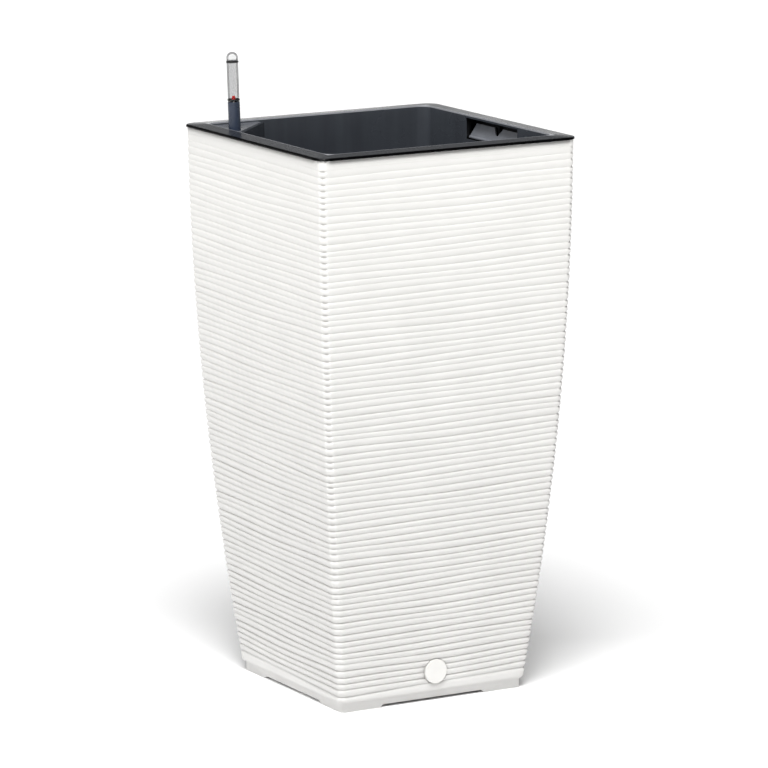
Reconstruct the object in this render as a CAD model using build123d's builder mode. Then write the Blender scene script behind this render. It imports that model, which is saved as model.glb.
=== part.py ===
"""A tall square self-watering planter: a white pot, a liner that lifts out of it, a reservoir
with a separator and wick cups in the liner, and a float level indicator in one corner.

Millimetres, +Z up. The origin is the middle of the base, on the surface the feet stand on.
The drain plug is in the -Y wall, and the indicator stands in the corner at -X, +Y.
"""
from build123d import *
import math
import os

os.makedirs("parts", exist_ok=True)

# ---------------------------------------------------------------- driving dimensions
# Pot: the walls curve in towards the base, and stand almost upright at the rim.
POT_TOP = 757.4
POT_WIDEST_HALF = 194.04
POT_WIDEST_Z = 779.0
POT_CURVE = 0.0000844
POT_WALL = 3.5
POT_CORNER = 11.0
POT_STEP_Z = 12.5
POT_STEP_ROUND = 5.0
POT_FLOOR = 4.0
POT_FLOOR_ROUND = 3.0
PLINTH_HALF = 140.0
PLINTH_CORNER = 8.0
PLINTH_RING = 9.0
FOOT_LENGTH = 59.0
FOOT_GAP = 4.0

# Drain plug in the middle of the front wall.
PLUG_Z = 42.0
PLUG_HEAD_R = 16.7
PLUG_HEAD_THICK = 7.0
PLUG_EDGE = 0.8
PLUG_SEAT_GAP = 0.8
PLUG_SHANK_R = 9.0
PLUG_SHANK_LENGTH = 9.0
PLUG_SHANK_WALL = 2.5
PLUG_PROUD = 2.2
PLUG_BOSS_WALL = 5.0
PLUG_BOSS_REACH = 1.5
SEAL_THICK = 1.5
SEAL_INSET = 2.0

# Liner: a drafted square bucket that hangs from its flange.
RIM_HALF = 197.5
RIM_CORNER = 19.0
RIM_EDGE = 3.2
RIM_TOP_ROUND = 2.2
RIM_LOW_ROUND = 0.6
LIP_RISE = 1.5
LIP_HALF = 172.5
DRAFT = 0.0185
LINER_BOTTOM = 380.0
LINER_BOTTOM_ROUND = 4.0
LINER_FLOOR_ROUND = 5.0
LINER_WALL = 3.0
LINER_CORNER = 16.0
SKIRT_HALF = 189.2
SKIRT_CORNER = 9.5
SKIRT_WALL = 1.8
SKIRT_DROP = 8.0

# Grip pockets in the two X walls, each closed by a hinged flap.
POCKET_BACK = 187.4
POCKET_HALF = 69.0
POCKET_Y = -7.0
POCKET_FLOOR_Z = 727.8
POCKET_JAMB = 4.0
POCKET_RIB_DEPTH = 3.0
POCKET_RIB_WIDTH = 4.0
FLAP_PIVOT_X = 179.0
FLAP_PIVOT_Z = 730.5
FLAP_LEAN = 19.7
FLAP_HEIGHT = 19.8
FLAP_HALF = 68.0
FLAP_TOP_HALF = 59.5
FLAP_THICK = 2.4
FLAP_CORNER = 0.8
NOTCH_HALF = 11.4
NOTCH_FLAT_HALF = 2.4
NOTCH_ROUND = 2.5
NOTCH_DEPTH = 11.0
BARREL_R = 2.2
ROD_R = 1.5
ROD_CHAMFER = 0.3
ROD_END_COVER = 1.0
ROD_END_PLAY = 0.2

# Level indicator: leans with the draft of the two liner walls beside it.
TUBE_X = -159.0
TUBE_Y = 113.5
TUBE_PLANE_Z = 757.8
TUBE_R = 8.25
TUBE_BORE = 6.6
TUBE_TOP = 39.5
TUBE_FOOT = -371.8
FOOT_CAP = 3.0
FOOT_PLUG = 4.0
STRAINER_HOLES = 6
STRAINER_HOLE_R = 1.1
STRAINER_RING_R = 3.8
WATER_SLOT_WIDTH = 3.0
WATER_SLOT_LENGTH = 40.0
WATER_SLOT_RISE = 45.0
SIGHT_R = 7.75
SIGHT_BORE = 6.3
SIGHT_SOCKET = 30.0
SIGHT_TOP = 96.5
CAP_TOP = 107.0
CAP_WALL = 1.45
MIN_MARK = 42.4
MAX_MARK = 93.8
RING_HEIGHT = 2.2
RING_PROUD = 0.6
RING_EDGE = 0.5

# Float with its rod and tip, at rest at the min mark.
FLOAT_CLEARANCE = 5.0
FLOAT_R = 6.0
FLOAT_LENGTH = 45.0
FLOAT_EDGE = 1.5
FLOAT_ROD_R = 1.1
ROD_ENTRY = 12.0
TIP_R = 2.4
TIP_LENGTH = 6.8
TIP_ROUND = 1.8
TIP_SOCKET = 3.0
TIP_BELOW_MARK = 1.5

# Filler shaft: a wall across the liner's corner, and the cover on top of it.
SHAFT_SUM = 138.0
SHAFT_WALL = 2.4
SHAFT_LOW = 446.0
LEDGE_WIDTH = 4.5
LEDGE_THICK = 2.0
COVER_THICK = 2.2
COVER_TOP = 758.6
COVER_PLAY = 0.3
COVER_EDGE = 0.5
COVER_HOLE_R = 8.6
COVER_END = 8.0

# Reservoir: separator plate carried by four wick cups.
SEPARATOR_Z = 453.0
SEPARATOR_THICK = 2.5
SEPARATOR_GAP = 4.0
SHAFT_CLEARANCE = 3.0
CUP_OFFSET = 84.0
CUP_TOP_R = 30.0
CUP_BASE_R = 25.0
CUP_WALL = 2.0
CUP_SHOULDER = 5.0
CUP_PLAY = 0.5
CUP_SLOTS = 12
CUP_SLOT_WIDTH = 2.5
CUP_SLOT_LOW = 8.0
CUP_SLOT_TOP_MARGIN = 12.0
SLOT_LENGTH = 60.0
SLOT_WIDTH = 4.0
SLOT_PITCH = 14.0
MIDDLE_SLOTS = 21
SIDE_SLOTS = 7
SIDE_SLOT_X = 104.0

# Drain of the liner: a standpipe that stops it draining dry, and a plug from below.
STANDPIPE_R = 13.0
STANDPIPE_HEIGHT = 50.0
DRAIN_R = 8.0
STOPPER_HEAD_PROUD = 2.0
STOPPER_HEAD_THICK = 4.0
STOPPER_SHANK = 14.0
STOPPER_EDGE = 1.0
COIN_SLOT_LENGTH = 22.0
COIN_SLOT_WIDTH = 3.0
COIN_SLOT_DEPTH = 2.0

# ---------------------------------------------------------------- derived sizes
RUNNING_GAP = 0.05
OVERCUT = 1.0
REACH = 250.0
LIP_TOP = POT_TOP + RIM_EDGE + LIP_RISE
LIP_INSET = RIM_HALF - LIP_HALF
FLOOR_TOP = LINER_BOTTOM + LINER_WALL
CUP_HEIGHT = SEPARATOR_Z - FLOOR_TOP
POCKET_PLANE = Plane(origin=(0, POCKET_Y, 0), x_dir=(1, 0, 0), z_dir=(0, -1, 0))
TUBE_LEAN = Vector(-DRAFT, DRAFT, 1).normalized()
TUBE_PLANE = Plane(origin=(TUBE_X, TUBE_Y, TUBE_PLANE_Z), x_dir=(1, 0, DRAFT), z_dir=TUBE_LEAN)


def pot_half(z):
    """Half width of the pot at height z: it falls away as the square of the depth below the rim."""
    return POT_WIDEST_HALF - POT_CURVE * (POT_WIDEST_Z - z) ** 2


def liner_half(z):
    """Half width of the liner's inside at height z."""
    return LIP_HALF - DRAFT * (LIP_TOP - z)


def pot_elevation(plane, inset, z_low, z_high):
    """Side view of the pot, its walls two shallow arcs, moved in by the inset."""
    z_mid = (z_low + z_high) / 2
    with BuildSketch(plane) as elevation:
        with BuildLine():
            wall = ThreePointArc(
                (pot_half(z_low) - inset, z_low),
                (pot_half(z_mid) - inset, z_mid),
                (pot_half(z_high) - inset, z_high),
            )
            opposite = mirror(wall, about=Plane.YZ)
            Line(wall @ 0, opposite @ 0)
            Line(wall @ 1, opposite @ 1)
        make_face()
    return elevation.sketch


def square_at(z, half, corner):
    """A rounded square of the given half width, lying level at height z."""
    with BuildSketch(Plane.XY.offset(z)) as square:
        RectangleRounded(2 * half, 2 * half, corner)
    return square.sketch


def corner_triangle(z, inset, sum_of_legs, corner):
    """The level triangle in the liner's -X, +Y corner, cut off where the two legs add up to a sum."""
    apex = RIM_HALF - inset
    leg = sum_of_legs - 2 * inset
    with BuildSketch(Plane.XY.offset(z)) as triangle:
        Polygon((-apex, apex), (-apex, apex - leg), (-apex + leg, apex), align=None)
        fillet(triangle.vertices().group_by(Axis.X)[0].sort_by(Axis.Y)[-1], corner)
    return triangle.sketch


def tall_edge(edge):
    """True for an edge that runs up a corner of the pot."""
    return edge.length > 2 * REACH


def on_rim(edge, z):
    """True for an edge at the flange's outer edge, at height z."""
    middle = edge.center()
    at_edge = max(abs(middle.X), abs(middle.Y)) > RIM_HALF - 4
    return at_edge and abs(middle.Z - z) < 0.01


# ---------------------------------------------------------------- outer pot
plug_face_y = -(pot_half(PLUG_Z) + PLUG_PROUD)
plug_seat_y = plug_face_y + PLUG_HEAD_THICK + SEAL_THICK
plug_back_y = plug_seat_y + PLUG_SHANK_LENGTH
boss_end_y = plug_back_y + PLUG_BOSS_REACH
plug_seat_plane = Plane.XZ.offset(-plug_seat_y)
plug_head_plane = plug_seat_plane.offset(SEAL_THICK)

with BuildPart() as pot_cavity:
    cavity_low = POT_STEP_Z + POT_FLOOR
    cavity_high = POT_TOP + OVERCUT
    extrude(pot_elevation(Plane.XZ, POT_WALL, cavity_low, cavity_high), amount=REACH, both=True)
    extrude(
        pot_elevation(Plane.YZ, POT_WALL, cavity_low, cavity_high),
        amount=REACH,
        both=True,
        mode=Mode.INTERSECT,
    )
    fillet(pot_cavity.edges().filter_by(tall_edge), POT_CORNER - POT_WALL)
    fillet(pot_cavity.faces().sort_by(Axis.Z)[0].edges(), POT_FLOOR_ROUND)
    # The boss that carries the drain plug stands out of the front wall into the cavity.
    with BuildSketch(Plane.XZ.offset(-boss_end_y)):
        with Locations((0, PLUG_Z)):
            Circle(PLUG_HEAD_R + PLUG_BOSS_WALL)
    extrude(amount=REACH, mode=Mode.SUBTRACT)

with BuildPart() as outer_pot:
    extrude(pot_elevation(Plane.XZ, 0, POT_STEP_Z, POT_TOP), amount=REACH, both=True)
    extrude(
        pot_elevation(Plane.YZ, 0, POT_STEP_Z, POT_TOP),
        amount=REACH,
        both=True,
        mode=Mode.INTERSECT,
    )
    fillet(outer_pot.edges().filter_by(tall_edge), POT_CORNER)
    fillet(outer_pot.faces().sort_by(Axis.Z)[0].edges(), POT_STEP_ROUND)
    add(pot_cavity.part, mode=Mode.SUBTRACT)
    # Plinth ring under the floor, set in from the walls.
    plinth_inner = PLINTH_HALF - PLINTH_RING
    with BuildSketch():
        RectangleRounded(2 * PLINTH_HALF, 2 * PLINTH_HALF, PLINTH_CORNER)
        RectangleRounded(2 * plinth_inner, 2 * plinth_inner, PLINTH_CORNER / 2, mode=Mode.SUBTRACT)
    extrude(amount=POT_STEP_Z + OVERCUT)
    # The plinth is cut away between the four corner feet, with slanted ends.
    gap_half = PLINTH_HALF - FOOT_LENGTH
    for plane in (Plane.XZ, Plane.YZ):
        with BuildSketch(plane):
            Polygon(
                (-gap_half, 0),
                (gap_half, 0),
                (gap_half - FOOT_GAP, FOOT_GAP),
                (-gap_half + FOOT_GAP, FOOT_GAP),
                align=None,
            )
        extrude(amount=REACH, both=True, mode=Mode.SUBTRACT)
    # Seat for the head of the drain plug, and the bore for its shank.
    with BuildSketch(plug_seat_plane):
        with Locations((0, PLUG_Z)):
            Circle(PLUG_HEAD_R + PLUG_SEAT_GAP)
    extrude(amount=REACH, mode=Mode.SUBTRACT)
    with BuildSketch(plug_seat_plane):
        with Locations((0, PLUG_Z)):
            Circle(PLUG_SHANK_R + RUNNING_GAP)
    extrude(amount=-(boss_end_y - plug_seat_y + OVERCUT), mode=Mode.SUBTRACT)
outer_pot.part.label = "outer_pot"
export_step(outer_pot.part, "parts/outer_pot.step")

# ---------------------------------------------------------------- drain plug and its seal
with BuildPart() as drain_plug:
    with BuildSketch(plug_head_plane):
        with Locations((0, PLUG_Z)):
            Circle(PLUG_HEAD_R)
    extrude(amount=PLUG_HEAD_THICK)
    fillet(drain_plug.edges().sort_by(Axis.Y)[0], PLUG_EDGE)
    with BuildSketch(plug_head_plane):
        with Locations((0, PLUG_Z)):
            Circle(PLUG_SHANK_R)
    extrude(amount=-(SEAL_THICK + PLUG_SHANK_LENGTH))
    chamfer(drain_plug.edges().sort_by(Axis.Y)[-1], PLUG_EDGE)
    # Finger hollow in the back of the shank.
    with BuildSketch(Plane.XZ.offset(-plug_back_y)):
        with Locations((0, PLUG_Z)):
            Circle(PLUG_SHANK_R - PLUG_SHANK_WALL)
    extrude(amount=PLUG_SHANK_LENGTH, mode=Mode.SUBTRACT)
drain_plug.part.label = "drain_plug"
export_step(drain_plug.part, "parts/drain_plug.step")

with BuildPart() as drain_plug_seal:
    with BuildSketch(plug_seat_plane):
        with Locations((0, PLUG_Z)):
            Circle(PLUG_HEAD_R - SEAL_INSET)
            Circle(PLUG_SHANK_R, mode=Mode.SUBTRACT)
    extrude(amount=SEAL_THICK)
drain_plug_seal.part.label = "drain_plug_seal"
export_step(drain_plug_seal.part, "parts/drain_plug_seal.step")

# ---------------------------------------------------------------- liner
with BuildPart() as shaft_partition:
    # A strip across the corner, sheared so that it leans exactly as the indicator does.
    middle = RIM_HALF - SHAFT_SUM / 2
    depth = COVER_TOP - COVER_THICK - SHAFT_LOW
    drift = DRAFT * depth
    with BuildSketch(Plane.XY.offset(SHAFT_LOW)):
        with Locations(Location((-middle + drift, middle - drift), 45)):
            Rectangle(SHAFT_SUM * 1.2, SHAFT_WALL)
    extrude(amount=depth * TUBE_LEAN.length / TUBE_LEAN.Z, dir=TUBE_LEAN)
    # Only the stretch inside the liner's walls is kept.
    loft(
        [
            square_at(LINER_BOTTOM, liner_half(LINER_BOTTOM) + OVERCUT, LINER_CORNER + OVERCUT),
            square_at(LIP_TOP, LIP_HALF + OVERCUT, LINER_CORNER + OVERCUT),
        ],
        mode=Mode.INTERSECT,
    )

with BuildPart() as liner:
    outer_corner = LINER_CORNER + LINER_WALL
    loft(
        [
            square_at(LINER_BOTTOM, liner_half(LINER_BOTTOM) + LINER_WALL, outer_corner),
            square_at(POT_TOP, liner_half(POT_TOP) + LINER_WALL, outer_corner),
        ]
    )
    fillet(liner.faces().sort_by(Axis.Z)[0].edges(), LINER_BOTTOM_ROUND)
    # Shells of the two grip pockets.
    shell_height = POT_TOP - POCKET_FLOOR_Z + POCKET_JAMB
    for side in (-1, 1):
        with Locations((side * SKIRT_HALF, POCKET_Y, POT_TOP)):
            Box(
                SKIRT_HALF - LIP_HALF,
                2 * (POCKET_HALF + POCKET_JAMB),
                shell_height,
                align=(Align.MAX if side > 0 else Align.MIN, Align.CENTER, Align.MAX),
            )
    # Skirt that centres the liner in the pot.
    skirt_inner = SKIRT_HALF - SKIRT_WALL
    with BuildSketch(Plane.XY.offset(POT_TOP - SKIRT_DROP)):
        RectangleRounded(2 * SKIRT_HALF, 2 * SKIRT_HALF, SKIRT_CORNER)
        RectangleRounded(2 * skirt_inner, 2 * skirt_inner, SKIRT_CORNER - SKIRT_WALL, mode=Mode.SUBTRACT)
    extrude(amount=SKIRT_DROP)
    # Flange, with its top rising slightly from the outer edge to the inner lip.
    extrude(square_at(POT_TOP, RIM_HALF, RIM_CORNER), amount=RIM_EDGE)
    loft(
        [
            square_at(POT_TOP + RIM_EDGE, RIM_HALF, RIM_CORNER),
            square_at(LIP_TOP, LIP_HALF, LINER_CORNER),
        ]
    )
    # Inside of the bucket.
    loft(
        [
            square_at(FLOOR_TOP, liner_half(FLOOR_TOP), LINER_CORNER),
            square_at(LIP_TOP + OVERCUT, liner_half(LIP_TOP + OVERCUT), LINER_CORNER),
        ],
        mode=Mode.SUBTRACT,
    )
    level_faces = liner.faces().filter_by(Plane.XY)
    bucket_floor = level_faces.sort_by(lambda face: abs(face.center().Z - FLOOR_TOP))[0]
    fillet(bucket_floor.edges(), LINER_FLOOR_ROUND)
    # Hollows of the grip pockets, the rib on each back wall, and the holes for the hinge rods.
    pocket_height = POT_TOP - POCKET_FLOOR_Z
    for side in (-1, 1):
        inward = Align.MAX if side > 0 else Align.MIN
        with Locations((side * POCKET_BACK, POCKET_Y, POT_TOP)):
            Box(
                POCKET_BACK - LIP_HALF + 2 * LINER_WALL,
                2 * POCKET_HALF,
                pocket_height,
                align=(inward, Align.CENTER, Align.MAX),
                mode=Mode.SUBTRACT,
            )
            Box(
                POCKET_RIB_DEPTH,
                POCKET_RIB_WIDTH,
                pocket_height,
                align=(inward, Align.CENTER, Align.MAX),
            )
        with BuildSketch(POCKET_PLANE):
            with Locations((side * FLAP_PIVOT_X, FLAP_PIVOT_Z)):
                Circle(ROD_R + RUNNING_GAP / 2)
        extrude(amount=POCKET_HALF + POCKET_JAMB - ROD_END_COVER, both=True, mode=Mode.SUBTRACT)
    # Ledge and partition of the filler shaft.
    ledge_top = COVER_TOP - COVER_THICK
    extrude(
        corner_triangle(ledge_top, LIP_INSET - OVERCUT, SHAFT_SUM, LINER_CORNER),
        amount=-LEDGE_THICK,
    )
    extrude(
        corner_triangle(ledge_top, LIP_INSET + LEDGE_WIDTH, SHAFT_SUM, LINER_CORNER - LINER_WALL),
        amount=-LEDGE_THICK,
        mode=Mode.SUBTRACT,
    )
    add(shaft_partition.part)
    # Standpipe of the drain, bored through the floor.
    with BuildSketch(Plane.XY.offset(LINER_BOTTOM + LINER_WALL / 2)):
        Circle(STANDPIPE_R)
    extrude(amount=LINER_WALL / 2 + STANDPIPE_HEIGHT)
    with BuildSketch(Plane.XY.offset(LINER_BOTTOM - OVERCUT)):
        Circle(DRAIN_R + RUNNING_GAP)
    extrude(amount=LINER_WALL + STANDPIPE_HEIGHT + 2 * OVERCUT, mode=Mode.SUBTRACT)
    # Soft edges on the flange.
    fillet(liner.edges().filter_by(lambda edge: on_rim(edge, POT_TOP + RIM_EDGE)), RIM_TOP_ROUND)
    fillet(liner.edges().filter_by(lambda edge: on_rim(edge, POT_TOP)), RIM_LOW_ROUND)
liner.part.label = "liner"
export_step(liner.part, "parts/liner.step")

# ---------------------------------------------------------------- grip flaps and their hinge rods
lean = math.radians(FLAP_LEAN)
for side, name in ((-1, "left"), (1, "right")):
    pivot = Vector(side * FLAP_PIVOT_X, POCKET_Y, FLAP_PIVOT_Z)
    facing = Vector(math.cos(lean), 0, -side * math.sin(lean))
    flap_plane = Plane(origin=pivot, x_dir=(0, 1, 0), z_dir=facing)
    with BuildPart() as grip_flap:
        # A plate, narrower at its free top edge, with a finger notch in the middle.
        with BuildSketch(flap_plane):
            Polygon(
                (-FLAP_HALF, 0),
                (FLAP_HALF, 0),
                (FLAP_TOP_HALF, FLAP_HEIGHT),
                (-FLAP_TOP_HALF, FLAP_HEIGHT),
                align=None,
            )
            with BuildSketch(mode=Mode.PRIVATE) as notch:
                Polygon(
                    (-NOTCH_HALF, FLAP_HEIGHT),
                    (-NOTCH_FLAT_HALF, FLAP_HEIGHT - NOTCH_DEPTH),
                    (NOTCH_FLAT_HALF, FLAP_HEIGHT - NOTCH_DEPTH),
                    (NOTCH_HALF, FLAP_HEIGHT),
                    align=None,
                )
                fillet(notch.vertices().group_by(Axis.Y)[0], NOTCH_ROUND)
            add(notch.sketch, mode=Mode.SUBTRACT)
        extrude(amount=FLAP_THICK / 2, both=True)
        across = grip_flap.edges().filter_by(lambda edge: abs(edge.length - FLAP_THICK) < 0.01)
        fillet(across, FLAP_CORNER)
        # Hinge barrel along the bottom edge, bored for the rod.
        with BuildSketch(POCKET_PLANE):
            with Locations((pivot.X, pivot.Z)):
                Circle(BARREL_R)
        extrude(amount=FLAP_HALF, both=True)
        with BuildSketch(POCKET_PLANE):
            with Locations((pivot.X, pivot.Z)):
                Circle(ROD_R + RUNNING_GAP)
        extrude(amount=FLAP_HALF + OVERCUT, both=True, mode=Mode.SUBTRACT)
    grip_flap.part.label = f"grip_flap_{name}"
    export_step(grip_flap.part, f"parts/grip_flap_{name}.step")

    rod_half = POCKET_HALF + POCKET_JAMB - ROD_END_COVER - ROD_END_PLAY
    with BuildPart() as flap_rod:
        with BuildSketch(POCKET_PLANE):
            with Locations((pivot.X, pivot.Z)):
                Circle(ROD_R)
        extrude(amount=rod_half, both=True)
        chamfer(flap_rod.edges().filter_by(GeomType.CIRCLE), ROD_CHAMFER)
    flap_rod.part.label = f"flap_rod_{name}"
    export_step(flap_rod.part, f"parts/flap_rod_{name}.step")

# ---------------------------------------------------------------- cover of the filler shaft
cover_inset = LIP_INSET + COVER_PLAY
cover_end = -(LIP_HALF - COVER_PLAY) + (SHAFT_SUM - 2 * cover_inset) - COVER_END
trim = 20.0
with BuildPart() as shaft_cover:
    extrude(
        corner_triangle(COVER_TOP, cover_inset, SHAFT_SUM, LINER_CORNER - COVER_PLAY),
        amount=-COVER_THICK,
    )
    # The two thin ends of the triangle are cut off square to the walls.
    with Locations((-RIM_HALF, -cover_end, COVER_TOP)):
        Box(RIM_HALF, trim, trim, align=(Align.MIN, Align.MAX, Align.CENTER), mode=Mode.SUBTRACT)
    with Locations((cover_end, RIM_HALF, COVER_TOP)):
        Box(trim, RIM_HALF, trim, align=(Align.MIN, Align.MAX, Align.CENTER), mode=Mode.SUBTRACT)
    fillet(shaft_cover.edges().group_by(Axis.Z)[-1], COVER_EDGE)
    with BuildSketch(TUBE_PLANE.offset(-trim)):
        Circle(COVER_HOLE_R)
    extrude(amount=2 * trim, mode=Mode.SUBTRACT)
shaft_cover.part.label = "shaft_cover"
export_step(shaft_cover.part, "parts/shaft_cover.step")

# ---------------------------------------------------------------- reservoir: separator and wick cups
with BuildPart() as separator_plate:
    plate_half = liner_half(SEPARATOR_Z) - SEPARATOR_GAP
    extrude(square_at(SEPARATOR_Z, plate_half, LINER_CORNER), amount=SEPARATOR_THICK)
    # A corner is cut off beside the filler shaft.
    shaft_drift = 2 * DRAFT * (COVER_TOP - SEPARATOR_Z)
    shaft_sum_here = SHAFT_SUM + shaft_drift + 2 * SHAFT_WALL + SHAFT_CLEARANCE
    extrude(
        corner_triangle(SEPARATOR_Z + SEPARATOR_THICK, LIP_INSET / 2, shaft_sum_here, OVERCUT),
        amount=-SEPARATOR_THICK,
        mode=Mode.SUBTRACT,
    )
    # Mouths of the four wick cups.
    with Locations(Plane.XY.offset(SEPARATOR_Z)):
        with GridLocations(2 * CUP_OFFSET, 2 * CUP_OFFSET, 2, 2):
            Hole(CUP_TOP_R + CUP_PLAY)
    # Air slots between the cups.
    with BuildSketch(Plane.XY.offset(SEPARATOR_Z)):
        with GridLocations(0, SLOT_PITCH, 1, MIDDLE_SLOTS):
            SlotOverall(SLOT_LENGTH, SLOT_WIDTH)
        for side in (-1, 1):
            with Locations((side * SIDE_SLOT_X, 0)):
                with GridLocations(0, SLOT_PITCH, 1, SIDE_SLOTS):
                    SlotOverall(SLOT_LENGTH, SLOT_WIDTH)
    extrude(amount=SEPARATOR_THICK, mode=Mode.SUBTRACT)
separator_plate.part.label = "separator_plate"
export_step(separator_plate.part, "parts/separator_plate.step")

cup_places = {
    "front_left": (-CUP_OFFSET, -CUP_OFFSET),
    "front_right": (CUP_OFFSET, -CUP_OFFSET),
    "back_right": (CUP_OFFSET, CUP_OFFSET),
    "back_left": (-CUP_OFFSET, CUP_OFFSET),
}
for name, (cup_x, cup_y) in cup_places.items():
    with BuildPart() as wick_cup:
        # Tapered cup standing on the liner's floor, with a shoulder that carries the plate.
        with BuildSketch(Plane((cup_x, cup_y, FLOOR_TOP), x_dir=(1, 0, 0), z_dir=(0, -1, 0))):
            with BuildLine():
                Polyline(
                    (0, 0),
                    (CUP_BASE_R, 0),
                    (CUP_TOP_R, CUP_HEIGHT - CUP_WALL),
                    (CUP_TOP_R + CUP_SHOULDER, CUP_HEIGHT - CUP_WALL),
                    (CUP_TOP_R + CUP_SHOULDER, CUP_HEIGHT),
                    (CUP_TOP_R, CUP_HEIGHT),
                    (CUP_TOP_R, CUP_HEIGHT + SEPARATOR_THICK),
                    (CUP_TOP_R - CUP_WALL, CUP_HEIGHT + SEPARATOR_THICK),
                    (CUP_BASE_R - CUP_WALL, CUP_WALL),
                    (0, CUP_WALL),
                    close=True,
                )
            make_face()
        revolve(axis=Axis((cup_x, cup_y, FLOOR_TOP), (0, 0, 1)))
        # Slots let the water in.
        with Locations((cup_x, cup_y, FLOOR_TOP + CUP_SLOT_LOW)):
            with PolarLocations(CUP_BASE_R, CUP_SLOTS):
                Box(
                    CUP_BASE_R / 2,
                    CUP_SLOT_WIDTH,
                    CUP_HEIGHT - CUP_SLOT_LOW - CUP_SLOT_TOP_MARGIN,
                    align=(Align.CENTER, Align.CENTER, Align.MIN),
                    mode=Mode.SUBTRACT,
                )
    wick_cup.part.label = f"wick_cup_{name}"
    export_step(wick_cup.part, f"parts/wick_cup_{name}.step")

# ---------------------------------------------------------------- drain plug of the liner
with BuildPart() as liner_plug:
    stopper_head_plane = Plane.XY.offset(LINER_BOTTOM - SEAL_THICK)
    with BuildSketch(stopper_head_plane):
        Circle(STANDPIPE_R + STOPPER_HEAD_PROUD)
    extrude(amount=-STOPPER_HEAD_THICK)
    fillet(liner_plug.edges().sort_by(Axis.Z)[0], STOPPER_EDGE)
    with BuildSketch(stopper_head_plane):
        Circle(DRAIN_R)
    extrude(amount=SEAL_THICK + STOPPER_SHANK)
    chamfer(liner_plug.edges().sort_by(Axis.Z)[-1], STOPPER_EDGE)
    # Cross slot for a coin.
    with BuildSketch(stopper_head_plane.offset(-STOPPER_HEAD_THICK)):
        Rectangle(COIN_SLOT_LENGTH, COIN_SLOT_WIDTH)
        Rectangle(COIN_SLOT_WIDTH, COIN_SLOT_LENGTH)
    extrude(amount=COIN_SLOT_DEPTH, mode=Mode.SUBTRACT)
liner_plug.part.label = "liner_plug"
export_step(liner_plug.part, "parts/liner_plug.step")

with BuildPart() as liner_plug_seal:
    with BuildSketch(Plane.XY.offset(LINER_BOTTOM)):
        Circle(STANDPIPE_R)
        Circle(DRAIN_R, mode=Mode.SUBTRACT)
    extrude(amount=-SEAL_THICK)
liner_plug_seal.part.label = "liner_plug_seal"
export_step(liner_plug_seal.part, "parts/liner_plug_seal.step")

# ---------------------------------------------------------------- level indicator
with BuildPart() as indicator_tube:
    with BuildSketch(TUBE_PLANE.offset(TUBE_FOOT + FOOT_CAP)):
        Circle(TUBE_R)
        Circle(TUBE_BORE, mode=Mode.SUBTRACT)
    extrude(amount=TUBE_TOP - TUBE_FOOT - FOOT_CAP)
    # Socket that the sight tube stands in.
    with BuildSketch(TUBE_PLANE.offset(SIGHT_SOCKET)):
        Circle(SIGHT_R)
    extrude(amount=TUBE_TOP - SIGHT_SOCKET, mode=Mode.SUBTRACT)
    # Water slots near the foot, through both sides of the tube.
    slot_centre = TUBE_PLANE.offset(TUBE_FOOT + WATER_SLOT_RISE).origin
    with BuildSketch(Plane(origin=slot_centre, x_dir=TUBE_PLANE.x_dir, z_dir=TUBE_PLANE.y_dir)):
        Rectangle(WATER_SLOT_WIDTH, WATER_SLOT_LENGTH)
    extrude(amount=TUBE_R + OVERCUT, both=True, mode=Mode.SUBTRACT)
indicator_tube.part.label = "indicator_tube"
export_step(indicator_tube.part, "parts/indicator_tube.step")

with BuildPart() as indicator_foot:
    # Strainer cap, no wider than the tube, with a spigot that plugs into the tube's end.
    with BuildSketch(TUBE_PLANE.offset(TUBE_FOOT)):
        Circle(TUBE_R)
    extrude(amount=FOOT_CAP)
    with BuildSketch(TUBE_PLANE.offset(TUBE_FOOT + FOOT_CAP)):
        Circle(TUBE_BORE)
    extrude(amount=FOOT_PLUG)
    with BuildSketch(TUBE_PLANE.offset(TUBE_FOOT)):
        with PolarLocations(STRAINER_RING_R, STRAINER_HOLES):
            Circle(STRAINER_HOLE_R)
    extrude(amount=FOOT_CAP + FOOT_PLUG + OVERCUT, mode=Mode.SUBTRACT)
indicator_foot.part.label = "indicator_foot"
export_step(indicator_foot.part, "parts/indicator_foot.step")

with BuildPart() as sight_tube:
    with BuildSketch(TUBE_PLANE.offset(SIGHT_SOCKET)):
        Circle(SIGHT_R)
        Circle(SIGHT_BORE, mode=Mode.SUBTRACT)
    extrude(amount=SIGHT_TOP - SIGHT_SOCKET)
sight_tube.part.label = "sight_tube"
export_step(sight_tube.part, "parts/sight_tube.step")

with BuildPart() as sight_cap:
    # Hollow dome on the sight tube.
    dome_low = CAP_TOP - SIGHT_R
    with BuildSketch(Plane(TUBE_PLANE.origin, TUBE_PLANE.x_dir, -TUBE_PLANE.y_dir)):
        with BuildLine():
            Line((SIGHT_BORE, SIGHT_TOP), (SIGHT_R, SIGHT_TOP))
            Line((SIGHT_R, SIGHT_TOP), (SIGHT_R, dome_low))
            RadiusArc((SIGHT_R, dome_low), (0, CAP_TOP), -SIGHT_R)
            Line((0, CAP_TOP), (0, CAP_TOP - CAP_WALL))
            RadiusArc((0, CAP_TOP - CAP_WALL), (SIGHT_BORE, dome_low), SIGHT_BORE)
            Line((SIGHT_BORE, dome_low), (SIGHT_BORE, SIGHT_TOP))
        make_face()
    revolve(axis=Axis(TUBE_PLANE.origin, TUBE_PLANE.z_dir))
sight_cap.part.label = "sight_cap"
export_step(sight_cap.part, "parts/sight_cap.step")

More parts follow.
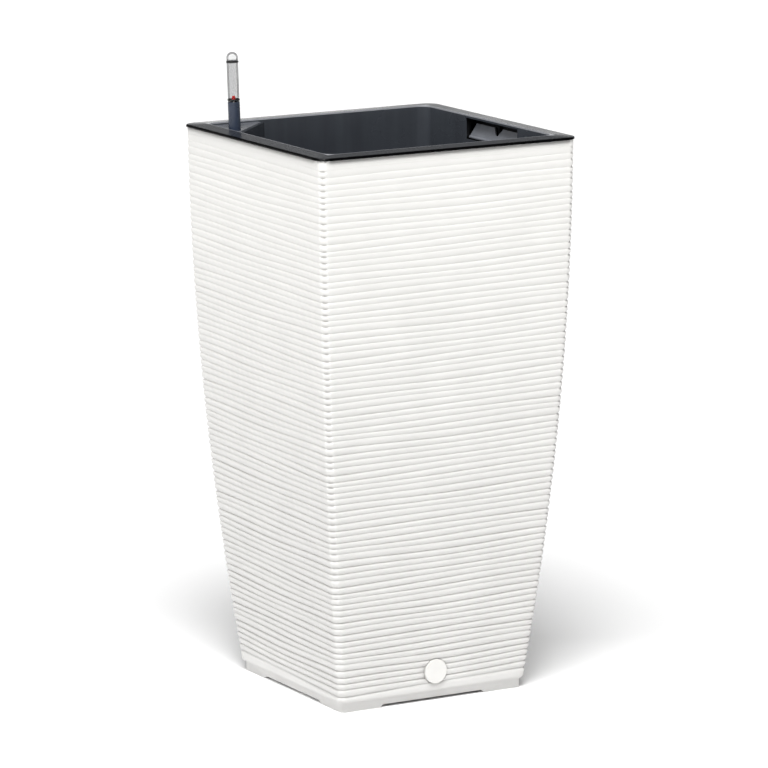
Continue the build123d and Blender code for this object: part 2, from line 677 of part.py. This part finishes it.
for name, mark in (("min_ring", MIN_MARK), ("max_ring", MAX_MARK)):
    with BuildPart() as mark_ring:
        with BuildSketch(TUBE_PLANE.offset(mark - RING_HEIGHT / 2)):
            Circle(SIGHT_R + RING_PROUD)
        extrude(amount=RING_HEIGHT)
        fillet(mark_ring.edges(), RING_EDGE)
        with BuildSketch(TUBE_PLANE.offset(mark - RING_HEIGHT)):
            Circle(SIGHT_R)
        extrude(amount=2 * RING_HEIGHT, mode=Mode.SUBTRACT)
    mark_ring.part.label = name
    export_step(mark_ring.part, f"parts/{name}.step")

# ---------------------------------------------------------------- float, its rod and the red tip
float_low = TUBE_FOOT + FOOT_CAP + FLOAT_CLEARANCE
float_top = float_low + FLOAT_LENGTH
rod_low = float_top - ROD_ENTRY
tip_low = MIN_MARK - TIP_BELOW_MARK
with BuildPart() as float_body:
    with BuildSketch(TUBE_PLANE.offset(float_low)):
        Circle(FLOAT_R)
    extrude(amount=FLOAT_LENGTH)
    fillet(float_body.edges(), FLOAT_EDGE)
    with BuildSketch(TUBE_PLANE.offset(rod_low)):
        Circle(FLOAT_ROD_R)
    extrude(amount=ROD_ENTRY + OVERCUT, mode=Mode.SUBTRACT)
float_body.part.label = "float_body"
export_step(float_body.part, "parts/float_body.step")

with BuildPart() as float_rod:
    with BuildSketch(TUBE_PLANE.offset(rod_low)):
        Circle(FLOAT_ROD_R)
    extrude(amount=tip_low + TIP_SOCKET - rod_low)
float_rod.part.label = "float_rod"
export_step(float_rod.part, "parts/float_rod.step")

with BuildPart() as float_tip:
    with BuildSketch(TUBE_PLANE.offset(tip_low)):
        Circle(TIP_R)
    extrude(amount=TIP_LENGTH)
    fillet(float_tip.edges().sort_by(Axis.Z)[-1], TIP_ROUND)
    with BuildSketch(TUBE_PLANE.offset(tip_low)):
        Circle(FLOAT_ROD_R)
    extrude(amount=TIP_SOCKET, mode=Mode.SUBTRACT)
float_tip.part.label = "float_tip"
export_step(float_tip.part, "parts/float_tip.step")
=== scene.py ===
"""Looks of the self-watering planter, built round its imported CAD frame. Metres, +Z up."""
import math
import bmesh
import bpy
from mathutils import Matrix, Vector


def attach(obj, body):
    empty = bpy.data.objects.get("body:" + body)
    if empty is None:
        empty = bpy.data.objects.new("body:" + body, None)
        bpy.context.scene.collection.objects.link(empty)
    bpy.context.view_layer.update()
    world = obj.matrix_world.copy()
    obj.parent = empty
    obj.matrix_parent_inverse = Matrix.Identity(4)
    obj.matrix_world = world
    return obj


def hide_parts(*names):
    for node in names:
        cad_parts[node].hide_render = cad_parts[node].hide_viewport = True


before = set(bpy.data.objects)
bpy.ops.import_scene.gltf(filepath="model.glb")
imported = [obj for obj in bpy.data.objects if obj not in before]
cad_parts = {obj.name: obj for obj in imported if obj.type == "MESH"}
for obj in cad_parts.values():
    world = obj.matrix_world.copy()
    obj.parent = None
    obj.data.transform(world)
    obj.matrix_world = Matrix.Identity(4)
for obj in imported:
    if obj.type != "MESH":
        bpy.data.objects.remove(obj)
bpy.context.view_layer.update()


# ---------------------------------------------------------------- sizes that the CAD frame doesn't name
# Pot: half width at height z is WIDEST_HALF - WALL_CURVE * (WIDEST_Z - z)^2, in metres.
WIDEST_HALF = 0.19404
WIDEST_Z = 0.779
WALL_CURVE = 0.0844
POT_CORNER = 0.011
STEP_Z = 0.0125
STEP_ROUND = 0.005
PLINTH_HALF = 0.140
PLINTH_CORNER = 0.008

# Ribs: level beads round the wall, between a smooth band under the rim and one over the step.
RIB_TOP_Z = 0.7480
RIB_START_Z = 0.7515
RIB_PITCH = 0.00867
RIB_COUNT = 84
RIB_CYCLE = 18
RIB_DEPTH_HIGH = 0.0008
RIB_DEPTH_LOW = 0.0031
RIB_DEPTH_MOST = 0.0033
RIB_RISE = 0.0049
RIB_CREST = 0.4
RIB_ROUND = 2.8
LEAST_RIB = 0.0003
# The rib lines wander: waves in one cycle of ribs, waves along one side, size and phase.
RIB_WAVES = (
    (1, 0.4, 0.00060, 0.1),
    (2, -1.0, 0.00059, 2.5),
    (0, -1.0, 0.00053, 1.6),
    (4, 0.1, 0.00048, -1.2),
    (2, 0.5, 0.00047, 2.6),
    (5, -0.7, 0.00036, 1.5),
    (6, 0.6, 0.00036, -1.9),
    (7, -0.7, 0.00032, -1.3),
)


def pot_half(z):
    """Half width of the pot's wall at height z."""
    return WIDEST_HALF - WALL_CURVE * (WIDEST_Z - z) ** 2


def add_piece(name, mesh):
    """A new object of the scene from a bmesh, which is freed."""
    data = bpy.data.meshes.new(name)
    mesh.to_mesh(data)
    mesh.free()
    piece = bpy.data.objects.new(name, data)
    bpy.context.scene.collection.objects.link(piece)
    return piece


# ---------------------------------------------------------------- camera
CAMERA_PLACE = Vector((-3.2814, -5.8628, 1.7251))
CAMERA_TARGET = Vector((0.0047, -0.0026, 0.4118))
CAMERA_ROLL = math.radians(-0.35)
CAMERA_LENS = 235.8


def add_camera():
    """The photo's camera, fitted to the pot's outline."""
    data = bpy.data.cameras.new("camera")
    data.lens = CAMERA_LENS
    data.sensor_width = 36
    data.clip_end = 100
    camera = bpy.data.objects.new("camera", data)
    bpy.context.scene.collection.objects.link(camera)
    aim = (CAMERA_TARGET - CAMERA_PLACE).to_track_quat("-Z", "Y").to_matrix().to_4x4()
    camera.matrix_world = Matrix.Translation(CAMERA_PLACE) @ aim @ Matrix.Rotation(CAMERA_ROLL, 4, "Z")
    bpy.context.scene.camera = camera


add_camera()


# ---------------------------------------------------------------- materials
def linear(*rgb):
    """Linear RGBA of an sRGB colour given from 0 to 255."""
    parts = [value / 255 for value in rgb]
    return tuple(v / 12.92 if v <= 0.04045 else ((v + 0.055) / 1.055) ** 2.4 for v in parts) + (1.0,)


class Shader:
    """A material's node tree, with short calls to add nodes and join them."""

    def __init__(self, name):
        self.material = bpy.data.materials.new(name)
        self.material.use_nodes = True
        self.tree = self.material.node_tree
        self.tree.nodes.clear()
        self.place = self.add("TexCoord").outputs["Object"]

    def add(self, kind, settings=(), **inputs):
        """A node of ShaderNode<kind>. An input is given a number, a colour or another node's output."""
        node = self.tree.nodes.new("ShaderNode" + kind)
        for key, value in dict(settings).items():
            setattr(node, key, value)
        for key, value in inputs.items():
            name = int(key[1:]) if key[1:].isdigit() else key.replace("_", " ")
            socket = node.inputs[name]
            if isinstance(value, bpy.types.NodeSocket):
                self.tree.links.new(value, socket)
            else:
                socket.default_value = value
        return node

    def noise(self, scale, detail=4.0, stretch=(1, 1, 1)):
        """Noise from 0 to 1 over the piece's own place, drawn out along an axis by a stretch under 1."""
        place = self.add("Mapping", Vector=self.place, Scale=stretch).outputs["Vector"]
        return self.add("TexNoise", Vector=place, Scale=scale, Detail=detail).outputs["Fac"]

    def spread(self, value, low, high, start=0.3, end=0.7):
        """The value's stretch from start to end, mapped to low to high."""
        names = {"From_Min": start, "From_Max": end, "To_Min": low, "To_Max": high}
        return self.add("MapRange", Value=value, **names).outputs["Result"]

    def blend(self, share, dark, light):
        """A colour between two."""
        mix = self.add("Mix", {"data_type": "RGBA"}, Factor=share, i6=dark, i7=light)
        return mix.outputs[2]

    def bump(self, height, strength, distance):
        return self.add("Bump", Height=height, Strength=strength, Distance=distance).outputs["Normal"]

    def finish(self, **inputs):
        surface = self.add("BsdfPrincipled", **inputs)
        self.add("OutputMaterial", Surface=surface.outputs["BSDF"])
        return self.material


def moulded(name, dark, light, gloss=(0.35, 0.5), clouds=14, grain=1200, relief=0.15, **more):
    """Moulded plastic: cloudy colour between two shades, uneven gloss and a fine grain."""
    shader = Shader(name)
    cloud = shader.noise(clouds)
    colour = shader.blend(shader.spread(cloud, 0, 1), linear(*dark), linear(*light))
    roughness = shader.spread(cloud, *gloss)
    normal = shader.bump(shader.noise(grain, 2.0), relief, 0.0001)
    return shader.finish(Base_Color=colour, Roughness=roughness, Normal=normal, **more)


def pot_material():
    """White plastic, with painted shade: a little greyer towards the foot."""
    shader = Shader("white_pot")
    cloud = shader.noise(20)
    height = shader.add("SeparateXYZ", Vector=shader.place).outputs["Z"]
    # Painted shade: the white darkens from z 0.7 down to the foot.
    rise = shader.spread(height, 0, 1, 0.05, 0.7)
    light = shader.blend(rise, linear(210, 209, 207), linear(223, 222, 219))
    dark = shader.blend(rise, linear(206, 205, 203), linear(220, 219, 216))
    return shader.finish(
        Base_Color=shader.blend(shader.spread(cloud, 0, 1), dark, light),
        Roughness=shader.spread(cloud, 0.45, 0.55),
        Normal=shader.bump(shader.noise(1200, 2.0), 0.15, 0.0001),
    )


RIM_DARK_HALF = 0.1938
POCKET_X = 0.1735
LIP_TOP_Z = 0.7604
LIP_LIGHT_HALF = 0.1731
LIP_LIGHT_Z = 0.7598


def liner_material():
    """Anthracite plastic with faint upright flow streaks. Painted shade makes the rim's outer side and
    the recesses below the flange near black, a painted highlight runs along the top of the inner wall,
    and the inner walls are painted lighter than the flange.
    """
    shader = Shader("anthracite_liner")
    cloud = shader.noise(9)
    streak = shader.noise(60, 2.0, stretch=(1, 1, 0.06))
    both = shader.add("Math", {"operation": "ADD"}, i0=cloud, i1=streak).outputs[0]
    share = shader.spread(both, 0, 1, 0.75, 1.25)
    axes = shader.add("SeparateXYZ", Vector=shader.place).outputs
    out_x = shader.add("Math", {"operation": "ABSOLUTE"}, i0=axes["X"]).outputs[0]
    # Painted light: the liner's inner walls get a lighter colour than the flange above, standing in for
    # light in the well.
    flange = shader.spread(axes["Z"], 0, 1, LIP_TOP_Z, LIP_TOP_Z + 0.0003)
    inner = shader.blend(share, linear(58, 61, 67), linear(66, 70, 76))
    # Painted shade: the recess below the flange past POCKET_X is painted near black.
    deep = shader.spread(out_x, 0, 1, POCKET_X, POCKET_X + 0.0005)
    low = shader.spread(flange, 1, 0, 0, 1)
    pocket_shade = shader.add("Math", {"operation": "MULTIPLY"}, i0=deep, i1=low).outputs[0]
    plain = shader.blend(flange, inner, linear(46, 48, 53))
    plain = shader.blend(pocket_shade, plain, linear(9, 9, 10))
    out_y = shader.add("Math", {"operation": "ABSOLUTE"}, i0=axes["Y"]).outputs[0]
    outward = shader.add("Math", {"operation": "MAXIMUM"}, i0=out_x, i1=out_y).outputs[0]
    # Painted shade: the rim's outer side is painted near black, with its specular turned down.
    edge = shader.spread(outward, 0, 1, RIM_DARK_HALF, RIM_DARK_HALF + 0.0003)
    # Painted highlight: a light band along the top of the liner's inner wall, under the flange's inner
    # rim.
    inside = shader.spread(outward, 1, 0, LIP_LIGHT_HALF, LIP_LIGHT_HALF + 0.0003)
    high = shader.spread(axes["Z"], 0, 1, LIP_LIGHT_Z, LIP_LIGHT_Z + 0.0005)
    lip_highlight = shader.add("Math", {"operation": "MULTIPLY"}, i0=inside, i1=high).outputs[0]
    colour = shader.blend(edge, shader.blend(lip_highlight, plain, linear(168, 170, 175)), linear(4, 4, 5))
    return shader.finish(
        Base_Color=colour,
        Roughness=shader.spread(cloud, 0.22, 0.3),
        # Less specular on the painted-shade outer side of the rim.
        Specular_IOR_Level=shader.spread(edge, 0.45, 0.05, 0, 1),
        Normal=shader.bump(shader.noise(900, 2.0), 0.12, 0.0001),
    )


def clear_material(name, dark):
    """Clear plastic: it darkens towards its outline, as a tube's wall does where it is seen edge on."""
    shader = Shader(name)
    facing = shader.add("LayerWeight", Blend=0.5).outputs["Facing"]
    cover = shader.spread(facing, dark, 0.98, 0.42, 0.68)
    cloud = shader.noise(80)
    colour = shader.blend(cloud, linear(30, 33, 40), linear(38, 41, 48))
    return shader.finish(
        Base_Color=colour,
        Roughness=shader.spread(cloud, 0.04, 0.08),
        Alpha=cover,
        Normal=shader.bump(shader.noise(300, 2.0), 0.03, 0.0001),
    )


WHITE = pot_material()
PLUG_WHITE = moulded("white_plug", (216, 215, 212), (220, 219, 216), (0.45, 0.55), clouds=60)
LINER = liner_material()
COVER = moulded("anthracite_cover", (92, 95, 102), (102, 105, 112), (0.22, 0.3), clouds=30)
FLAP = moulded("grey_flap", (126, 129, 136), (136, 139, 146), (0.3, 0.4), clouds=40)
METAL = moulded("steel_rod", (150, 152, 156), (168, 170, 174), (0.2, 0.35), clouds=200, Metallic=1.0)
SEPARATOR = moulded("black_separator", (26, 27, 29), (34, 35, 37), (0.45, 0.6))
SLATE = moulded("slate_tube", (38, 47, 64), (44, 54, 72), (0.22, 0.32), clouds=60)
CLEAR = clear_material("clear_sight_tube", 0.16)
DOME = clear_material("clear_dome", 0.05)
BLACK = moulded("black_ring", (10, 10, 11), (18, 18, 20), (0.45, 0.6), clouds=200)
RUBBER = moulded("black_seal", (22, 22, 23), (30, 30, 32), (0.6, 0.75), clouds=90, relief=0.3)
FOAM = moulded(
    "float_foam", (225, 222, 212), (240, 238, 230), (0.7, 0.85), clouds=160, grain=700, relief=0.5
)
ROD = moulded("white_rod", (232, 232, 230), (244, 244, 242), (0.3, 0.4), clouds=100)
RED = moulded("red_tip", (236, 22, 14), (246, 36, 24), (0.25, 0.35), clouds=300)

CUPS = ("wick_cup_front_left", "wick_cup_front_right", "wick_cup_back_right", "wick_cup_back_left")
FINISHES = {
    PLUG_WHITE: ("drain_plug",),
    LINER: ("liner",),
    COVER: ("shaft_cover",),
    FLAP: ("grip_flap_left", "grip_flap_right"),
    METAL: ("flap_rod_left", "flap_rod_right"),
    SEPARATOR: ("separator_plate", "liner_plug") + CUPS,
    SLATE: ("indicator_tube", "indicator_foot"),
    CLEAR: ("sight_tube",),
    DOME: ("sight_cap",),
    BLACK: ("min_ring", "max_ring"),
    RUBBER: ("drain_plug_seal", "liner_plug_seal"),
    FOAM: ("float_body",),
    ROD: ("float_rod",),
    RED: ("float_tip",),
}


def paint_nodes():
    """Gives every CAD node that stays in view its finish."""
    for material, names in FINISHES.items():
        for name in names:
            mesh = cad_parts[name].data
            mesh.materials.clear()
            mesh.materials.append(material)


paint_nodes()


# ---------------------------------------------------------------- ribbed pot
STRAIGHT_STEPS = 24
CORNER_STEPS = 14
RIB_STEPS = (0.0, 0.05, 0.13, 0.25, 0.4, 0.6, 0.8, 0.93)
SKIN_INSET = 0.00005
SKIN_TOP = 0.760
SKIN_LOW = -0.001
PLINTH_ROOM = 0.0015
LEAST_CORNER = 0.002
STEP_ARC = 4
BAND_EDGE = 0.0015
CORNER_NOTCH = 0.0034
NOTCH_T = 0.16
FADE_LOW_Z = 0.12
FADE_HIGH_Z = 0.32


def rib_lines(s):
    """Heights of the grooves, from the top one down, at share s of the way along a side."""
    lines = []
    for index in range(RIB_COUNT + 1):
        z = RIB_START_Z - index * RIB_PITCH + s * RIB_RISE
        for cycles, turns, size, phase in RIB_WAVES:
            angle = 2 * math.pi * (cycles * index / RIB_CYCLE + turns * s)
            z += size * math.sin(angle + phase)
        lines.append(min(z, RIB_TOP_Z - index * LEAST_RIB))
    return lines


def groove_depth(width, z):
    """Depth of the groove under a rib of this width. The grooves get deeper down the pot."""
    usual = RIB_DEPTH_LOW + (RIB_DEPTH_HIGH - RIB_DEPTH_LOW) * z / RIB_TOP_Z
    return min(usual * (width / RIB_PITCH) ** 1.5, RIB_DEPTH_MOST)


def notch_depth(t, width, z, corner_share):
    """Extra depth of the short notch that every groove has in the pot's corners."""
    if NOTCH_T < t < 1 - NOTCH_T or width < RIB_PITCH / 2:
        return 0
    fade = min(1, max(0, (z - FADE_LOW_Z) / (FADE_HIGH_Z - FADE_LOW_Z)))
    return CORNER_NOTCH * corner_share**5 * fade


def rib_depth(t, top_depth, low_depth):
    """Depth under the crest at share t down a rib's rounded face."""
    if t < RIB_CREST:
        return top_depth * ((RIB_CREST - t) / RIB_CREST) ** RIB_ROUND
    return low_depth * ((t - RIB_CREST) / (1 - RIB_CREST)) ** RIB_ROUND


def wall_column(s, corner_share):
    """Height and depth of each point down the wall, from above the rim to under the feet."""
    lines = rib_lines(s)
    column = [(SKIN_TOP, 0), (RIB_TOP_Z + BAND_EDGE, 0)]
    top_depth = groove_depth(RIB_PITCH / 3, RIB_TOP_Z)
    for upper, lower in zip(lines, lines[1:]):
        width = upper - lower
        low_depth = groove_depth(width, lower)
        for t in RIB_STEPS:
            notch = notch_depth(t, width, lower, corner_share)
            depth = rib_depth(t, top_depth, low_depth) + notch
            column.append((upper - width * t, min(depth, RIB_DEPTH_MOST)))
        top_depth = low_depth
    column.append((lines[-1], top_depth))
    column.append((lines[-1] - BAND_EDGE, top_depth / 4))
    column.append((lines[-1] - 2 * BAND_EDGE, 0))
    for step in range(STEP_ARC + 1):
        angle = math.pi / 2 / STEP_ARC * step
        z = STEP_Z + SKIN_INSET + STEP_ROUND * (1 - math.sin(angle))
        column.append((z, STEP_ROUND * (1 - math.cos(angle))))
    return column


def perimeter():
    """Points round the pot: side number, share along the straight stretch, turn round the corner."""
    points = []
    for side in range(4):
        for step in range(STRAIGHT_STEPS):
            points.append((side, step / STRAIGHT_STEPS, 0.0))
        for step in range(CORNER_STEPS):
            points.append((side, 1.0, step / CORNER_STEPS))
    return points


def outline_point(side, share, turn, half, corner):
    """A point of a rounded square. Side 0 is at -Y and runs towards +X, and the rest follow it."""
    flat = half - corner
    if turn == 0.0:
        x, y = (2 * share - 1) * flat, -half
    else:
        angle = (turn - 1) * math.pi / 2
        x, y = flat + corner * math.cos(angle), -flat + corner * math.sin(angle)
    for _ in range(side):
        x, y = -y, x
    return x, y


def skin_ring(mesh, side, share, turn):
    """One upright line of vertices down the ribbed skin and the plinth."""
    s = share if side % 2 == 0 else 1 - share
    ring = []
    for z, depth in wall_column(s, math.sin(math.pi * turn)):
        inset = depth + SKIN_INSET
        corner = max(POT_CORNER - inset, LEAST_CORNER)
        x, y = outline_point(side, share, turn, pot_half(z) - inset, corner)
        ring.append(mesh.verts.new((x, y, z)))
    for z in (STEP_Z + SKIN_INSET, SKIN_LOW):
        x, y = outline_point(side, share, turn, PLINTH_HALF + PLINTH_ROOM, PLINTH_CORNER + PLINTH_ROOM)
        ring.append(mesh.verts.new((x, y, z)))
    return ring


def build_skin():
    """The closed solid that the pot's wall is cut back to: ribbed, with plain bands at both ends."""
    mesh = bmesh.new()
    rings = [skin_ring(mesh, *point) for point in perimeter()]
    for here, there in zip(rings, rings[1:] + rings[:1]):
        for row in range(len(here) - 1):
            mesh.faces.new((here[row], here[row + 1], there[row + 1], there[row]))
    mesh.faces.new([ring[0] for ring in rings])
    mesh.faces.new([ring[-1] for ring in reversed(rings)])
    bmesh.ops.recalc_face_normals(mesh, faces=mesh.faces[:])
    return add_piece("skin", mesh)


WELD_REACH = 1e-6
SHARP_DEGREES = 50


def copy_of_node(node, name):
    """A new object with a welded copy of a CAD node's mesh."""
    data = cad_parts[node].data.copy()
    data.name = name
    welded = bmesh.new()
    welded.from_mesh(data)
    bmesh.ops.remove_doubles(welded, verts=welded.verts[:], dist=WELD_REACH)
    welded.to_mesh(data)
    welded.free()
    piece = bpy.data.objects.new(name, data)
    bpy.context.scene.collection.objects.link(piece)
    return piece


def apply_modifiers(piece):
    depsgraph = bpy.context.evaluated_depsgraph_get()
    data = bpy.data.meshes.new_from_object(piece.evaluated_get(depsgraph))
    piece.modifiers.clear()
    piece.data = data


def smooth_by_angle(piece, degrees):
    piece.data.shade_smooth()
    piece.data.set_sharp_from_angle(angle=math.radians(degrees))


def build_pot():
    """The visible pot: the CAD pot cut back to the ribbed skin, so that it stays inside the CAD wall."""
    skin = build_skin()
    pot = copy_of_node("outer_pot", "ribbed_pot")
    cut = pot.modifiers.new("ribs", "BOOLEAN")
    cut.operation = "INTERSECT"
    cut.solver = "MANIFOLD"
    cut.object = skin
    apply_modifiers(pot)
    bpy.data.objects.remove(skin)
    pot.data.materials.clear()
    pot.data.materials.append(WHITE)
    smooth_by_angle(pot, SHARP_DEGREES)
    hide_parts("outer_pot")
    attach(pot, "pot")
    return pot


build_pot()


# ---------------------------------------------------------------- floor and light
FLOOR_REACH = 40.0
FLOOR_Z = -0.0002


def add_floor():
    """A plain pale floor that reaches past the picture on every side."""
    mesh = bmesh.new()
    corners = [(-1, -1), (1, -1), (1, 1), (-1, 1)]
    mesh.faces.new([mesh.verts.new((x * FLOOR_REACH, y * FLOOR_REACH, FLOOR_Z)) for x, y in corners])
    floor = add_piece("floor", mesh)
    paint = moulded(
        "floor_paint", (252, 252, 252), (254, 254, 254), (0.8, 0.9), clouds=1, grain=60, relief=0.05
    )
    floor.data.materials.append(paint)


def add_far_light(name, azimuth, elevation, spread, strength):
    """A soft, far light. Its azimuth is counted from -Y towards -X, and all angles are in degrees."""
    data = bpy.data.lights.new(name, "SUN")
    data.angle = math.radians(spread)
    data.energy = strength
    light = bpy.data.objects.new(name, data)
    bpy.context.scene.collection.objects.link(light)
    turn, rise = math.radians(azimuth), math.radians(elevation)
    level = math.cos(rise)
    towards = Vector((-math.sin(turn) * level, -math.cos(turn) * level, math.sin(rise)))
    light.rotation_euler = towards.to_track_quat("Z", "Y").to_euler()


def add_sky(levels):
    """A white studio surround, with its brightness at heights from the horizon (0) to overhead (1)."""
    world = bpy.data.worlds.new("studio")
    world.use_nodes = True
    nodes, links = world.node_tree.nodes, world.node_tree.links
    place = nodes.new("ShaderNodeTexCoord")
    axes = nodes.new("ShaderNodeSeparateXYZ")
    ramp = nodes.new("ShaderNodeValToRGB")
    links.new(place.outputs["Generated"], axes.inputs["Vector"])
    links.new(axes.outputs["Z"], ramp.inputs["Fac"])
    while len(ramp.color_ramp.elements) < len(levels):
        ramp.color_ramp.elements.new(0.5)
    for element, (height, level) in zip(ramp.color_ramp.elements, levels):
        element.position = height
        element.color = (level, level, level, 1)
    links.new(ramp.outputs["Color"], nodes["Background"].inputs["Color"])
    bpy.context.scene.world = world


bpy.context.scene.view_settings.view_transform = "Standard"
add_floor()
add_sky(((0.0, 1.6), (0.07, 1.6), (0.13, 0.35), (0.28, 0.08), (0.6, 0.08), (1.0, 0.15)))
add_far_light("key", azimuth=31, elevation=56, spread=30, strength=3.5)
add_far_light("side", azimuth=95, elevation=35, spread=40, strength=0.7)
